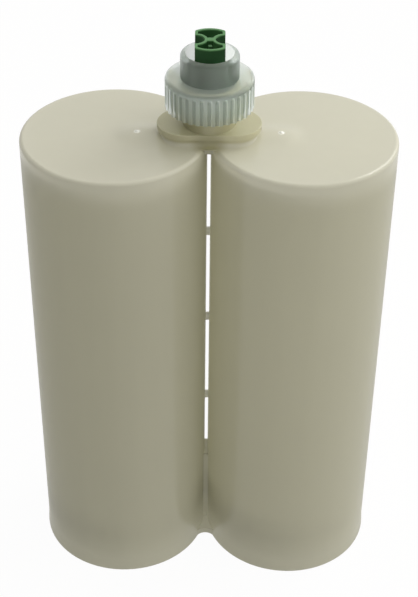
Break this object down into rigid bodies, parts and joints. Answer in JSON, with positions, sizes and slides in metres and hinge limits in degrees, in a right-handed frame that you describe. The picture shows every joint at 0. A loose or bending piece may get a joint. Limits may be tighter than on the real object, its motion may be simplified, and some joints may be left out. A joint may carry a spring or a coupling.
{
  "type": "dual cartridge",
  "caption": "Side-by-side dual cartridge: bridged plastic barrels with ring-sealed pistons and vent pins, and a green plug held in the twin outlet by a frosted screw nut.",
  "frame": {"origin": "midway between the two barrels, on the plane of the rear rims that the cartridge stands on", "axes": "+Z along the barrels to the outlet, X across the two barrels, -Y towards the viewer of the picture"},
  "size_m": [0.1562, 0.0778, 0.261],
  "materials": {
    "body_plastic": "natural translucent polypropylene, satin",
    "piston_plastic": "white polyethylene, waxy satin",
    "ring_rubber": "pale silicone rubber",
    "pin_plastic": "white polyethylene, waxy satin",
    "plug_plastic": "dark green polyethylene, moulded gloss",
    "nut_plastic": "frosted translucent polypropylene"
  },
  "bodies": {
    "cartridge": {"cartridge_body": "body_plastic"},
    "left_piston": {"left_piston": "piston_plastic", "left_piston_ring": "ring_rubber"},
    "right_piston": {"right_piston": "piston_plastic", "right_piston_ring": "ring_rubber"},
    "left_vent_pin": {"left_vent_pin": "pin_plastic"},
    "right_vent_pin": {"right_vent_pin": "pin_plastic"},
    "plug": {"closure_plug": "plug_plastic"},
    "nut": {"retaining_nut": "nut_plastic"}
  },
  "joints": [
    {"name": "left_piston_slide", "type": "slide", "parent": "cartridge", "child": "left_piston", "axis": [0, 0, 1], "range_m": [0, 0.1812]},
    {"name": "left_vent_pin_slide", "type": "slide", "parent": "left_piston", "child": "left_vent_pin", "axis": [0, 0, -1], "range_m": [0, 0.0045]},
    {"name": "right_piston_slide", "type": "slide", "parent": "cartridge", "child": "right_piston", "axis": [0, 0, 1], "range_m": [0, 0.1812]},
    {"name": "right_vent_pin_slide", "type": "slide", "parent": "right_piston", "child": "right_vent_pin", "axis": [0, 0, -1], "range_m": [0, 0.0045]},
    {"name": "plug_lift", "type": "slide", "parent": "cartridge", "child": "plug", "axis": [0, 0, 1], "range_m": [0, 0.00901]},
    {"name": "nut_turn", "type": "hinge", "parent": "plug", "child": "nut", "pos_m": [0, 0, 0.2385], "axis": [0, 0, 1], "range_deg": [0, 810]}
  ],
  "couplings": [
    {"joint": "plug_lift", "follows": "nut_turn", "m_per_rad": 0.00063662}
  ]
}
